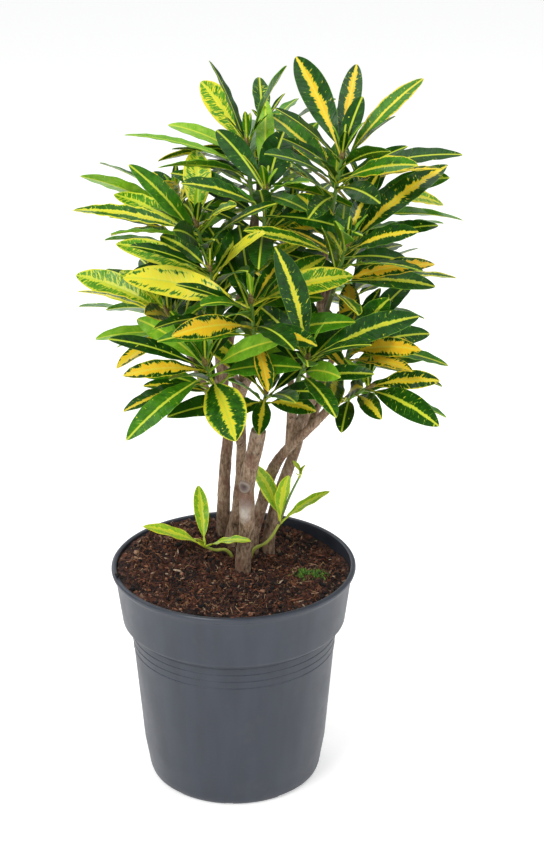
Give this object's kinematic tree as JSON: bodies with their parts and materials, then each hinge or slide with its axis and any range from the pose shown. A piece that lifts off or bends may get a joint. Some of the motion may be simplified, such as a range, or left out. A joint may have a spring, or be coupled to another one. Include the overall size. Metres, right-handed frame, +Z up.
{
  "type": "potted croton plant",
  "caption": "Potted croton: branching woody stems with whorls of narrow green and yellow leaves, standing in soil in a round collared nursery pot",
  "frame": {"origin": "centre of the flat pad in the middle of the pot's underside, on the pot's axis", "axes": "+Z up, +X to the plant's right seen from its front, +Y to its back"},
  "size_m": [0.3221, 0.3442, 0.6186],
  "materials": {
    "pot": "satin moulded polypropylene",
    "soil": "crumbly peat and coir compost",
    "bark": "rough grey-brown bark",
    "leaf": "glossy waxy leaf, dark green with a golden midrib and blotches",
    "young_leaf": "soft glossy young leaf, light green and yellow"
  },
  "bodies": {
    "root": {"pot": "pot", "soil": "soil", "trunk_left": "bark", "trunk_middle": "bark", "trunk_front": "bark", "trunk_right": "bark", "trunk_back": "bark", "sprout_left": "young_leaf", "sprout_right": "young_leaf", "shoot_front_low": "leaf", "shoot_front_middle": "leaf", "shoot_front_right": "leaf", "shoot_front_stump": "leaf", "shoot_front_left": "leaf", "shoot_top_right": "leaf", "shoot_top_left": "leaf", "shoot_high_middle": "leaf", "shoot_high_left": "leaf", "shoot_high_right": "leaf", "shoot_right": "leaf", "shoot_right_low": "leaf", "shoot_right_back": "leaf", "shoot_left": "leaf", "shoot_back_left_low": "leaf", "shoot_back_left": "leaf", "shoot_back_middle": "leaf", "shoot_back_right": "leaf", "shoot_back_top": "leaf", "shoot_back_low": "leaf"}
  },
  "joints": []
}
